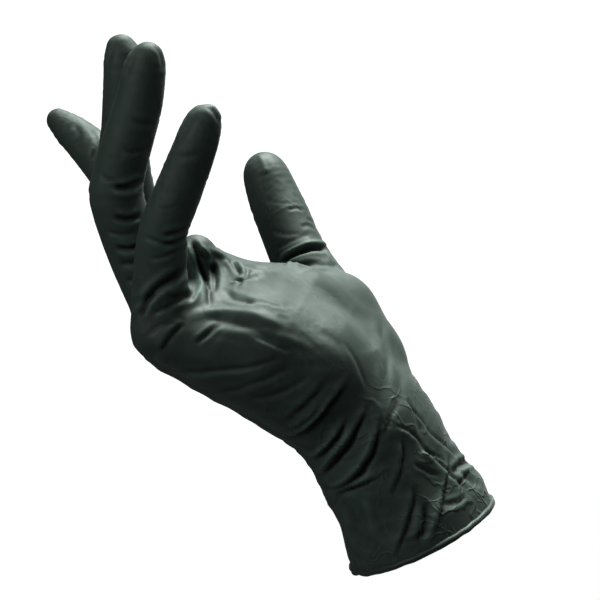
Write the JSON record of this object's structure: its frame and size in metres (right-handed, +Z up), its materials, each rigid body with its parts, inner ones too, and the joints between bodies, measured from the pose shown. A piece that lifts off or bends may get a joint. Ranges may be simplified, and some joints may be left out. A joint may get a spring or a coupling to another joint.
{
  "type": "disposable glove",
  "caption": "Black disposable nitrile glove shaped as worn on a right hand, palm up with half-curled fingers, flared cuff with rolled bead, hollow and flexible.",
  "frame": {"origin": "centre of the cuff opening, where the wrist enters", "axes": "+Z up with the fingers pointing up, +X from the knuckles towards the cuff, +Y from the little finger side towards the thumb side"},
  "size_m": [0.1575, 0.1192, 0.1848],
  "materials": {
    "nitrile_film": "satin black nitrile film, faintly green",
    "nitrile_bead": "satin rolled nitrile bead"
  },
  "bodies": {
    "cuff": {"cuff_bead": "nitrile_bead", "cuff_sleeve": "nitrile_film", "wrist_fold": "nitrile_film"},
    "hand": {"hand_body": "nitrile_film", "little_root_fold": "nitrile_film", "ring_root_fold": "nitrile_film", "middle_root_fold": "nitrile_film", "index_root_fold": "nitrile_film", "thumb_root_fold": "nitrile_film"},
    "little_proximal": {"little_proximal_sleeve": "nitrile_film", "little_knuckle_fold": "nitrile_film"},
    "little_middle": {"little_middle_sleeve": "nitrile_film", "little_tip_fold": "nitrile_film"},
    "little_tip": {"little_fingertip": "nitrile_film"},
    "ring_proximal": {"ring_proximal_sleeve": "nitrile_film", "ring_knuckle_fold": "nitrile_film"},
    "ring_middle": {"ring_middle_sleeve": "nitrile_film", "ring_tip_fold": "nitrile_film"},
    "ring_tip": {"ring_fingertip": "nitrile_film"},
    "middle_proximal": {"middle_proximal_sleeve": "nitrile_film", "middle_knuckle_fold": "nitrile_film"},
    "middle_middle": {"middle_middle_sleeve": "nitrile_film", "middle_tip_fold": "nitrile_film"},
    "middle_tip": {"middle_fingertip": "nitrile_film"},
    "index_proximal": {"index_proximal_sleeve": "nitrile_film", "index_knuckle_fold": "nitrile_film"},
    "index_middle": {"index_middle_sleeve": "nitrile_film", "index_tip_fold": "nitrile_film"},
    "index_tip": {"index_fingertip": "nitrile_film"},
    "thumb_proximal": {"thumb_proximal_sleeve": "nitrile_film", "thumb_knuckle_fold": "nitrile_film"},
    "thumb_end": {"thumb_tip": "nitrile_film"}
  },
  "joints": [
    {"name": "wrist_bend", "type": "hinge", "parent": "cuff", "child": "hand", "pos_m": [-0.0178, -0.004, 0.0372], "axis": [0.1721, 0.9574, 0.2317], "range_deg": [-8, 50], "deforming": ["wrist_fold"]},
    {"name": "little_root_bend", "type": "hinge", "parent": "hand", "child": "little_proximal", "pos_m": [-0.08273, -0.03819, 0.08668], "axis": [0.1004, 0.9514, 0.291], "range_deg": [-45, 8], "deforming": ["little_root_fold"]},
    {"name": "little_middle_bend", "type": "hinge", "parent": "little_proximal", "child": "little_middle", "pos_m": [-0.083, -0.043, 0.1025], "axis": [0.1004, 0.9514, 0.291], "range_deg": [-16, 45], "deforming": ["little_knuckle_fold"]},
    {"name": "little_end_bend", "type": "hinge", "parent": "little_middle", "child": "little_tip", "pos_m": [-0.075, -0.048, 0.1221], "axis": [0.1004, 0.9514, 0.291], "range_deg": [-10, 24.5], "deforming": ["little_tip_fold"]},
    {"name": "ring_root_bend", "type": "hinge", "parent": "hand", "child": "ring_proximal", "pos_m": [-0.09155, -0.02009, 0.09589], "axis": [0.103, 0.9478, 0.3018], "range_deg": [-38, 18], "deforming": ["ring_root_fold"]},
    {"name": "ring_middle_bend", "type": "hinge", "parent": "ring_proximal", "child": "ring_middle", "pos_m": [-0.099, -0.026, 0.117], "axis": [0.103, 0.9478, 0.3018], "range_deg": [-18, 45], "deforming": ["ring_knuckle_fold"]},
    {"name": "ring_end_bend", "type": "hinge", "parent": "ring_middle", "child": "ring_tip", "pos_m": [-0.094, -0.032, 0.1425], "axis": [0.103, 0.9478, 0.3018], "range_deg": [-11, 24.5], "deforming": ["ring_tip_fold"]},
    {"name": "middle_root_bend", "type": "hinge", "parent": "hand", "child": "middle_proximal", "pos_m": [-0.09211, -0.0018, 0.10052], "axis": [0.1105, 0.9574, 0.2669], "range_deg": [-40, 15], "deforming": ["middle_root_fold"]},
    {"name": "middle_middle_bend", "type": "hinge", "parent": "middle_proximal", "child": "middle_middle", "pos_m": [-0.098, -0.008, 0.1252], "axis": [0.1105, 0.9574, 0.2669], "range_deg": [-12, 55], "deforming": ["middle_knuckle_fold"]},
    {"name": "middle_end_bend", "type": "hinge", "parent": "middle_middle", "child": "middle_tip", "pos_m": [-0.0979, -0.013, 0.1493], "axis": [0.1105, 0.9574, 0.2669], "range_deg": [-8, 29.5], "deforming": ["middle_tip_fold"]},
    {"name": "index_root_bend", "type": "hinge", "parent": "hand", "child": "index_proximal", "pos_m": [-0.08733, 0.02533, 0.09714], "axis": [0.452, 0.8807, -0.1414], "range_deg": [-15, 30], "deforming": ["index_root_fold"]},
    {"name": "index_middle_bend", "type": "hinge", "parent": "index_proximal", "child": "index_middle", "pos_m": [-0.0974, 0.033, 0.1127], "axis": [0.452, 0.8807, -0.1414], "range_deg": [-8, 55], "deforming": ["index_knuckle_fold"]},
    {"name": "index_end_bend", "type": "hinge", "parent": "index_middle", "child": "index_tip", "pos_m": [-0.1137, 0.043, 0.1312], "axis": [0.452, 0.8807, -0.1414], "range_deg": [-6, 29.5], "deforming": ["index_tip_fold"]},
    {"name": "thumb_root_bend", "type": "hinge", "parent": "hand", "child": "thumb_proximal", "pos_m": [-0.03551, 0.04255, 0.09581], "axis": [0.6346, -0.5516, 0.5414], "range_deg": [-12, 20], "deforming": ["thumb_root_fold"]},
    {"name": "thumb_end_bend", "type": "hinge", "parent": "thumb_proximal", "child": "thumb_end", "pos_m": [-0.0437, 0.05, 0.113], "axis": [0.6346, -0.5516, 0.5414], "range_deg": [-8, 40], "deforming": ["thumb_knuckle_fold"]}
  ],
  "couplings": [
    {"joint": "little_end_bend", "follows": "little_middle_bend", "ratio": 0.5},
    {"joint": "ring_end_bend", "follows": "ring_middle_bend", "ratio": 0.5},
    {"joint": "middle_end_bend", "follows": "middle_middle_bend", "ratio": 0.5},
    {"joint": "index_end_bend", "follows": "index_middle_bend", "ratio": 0.5}
  ]
}
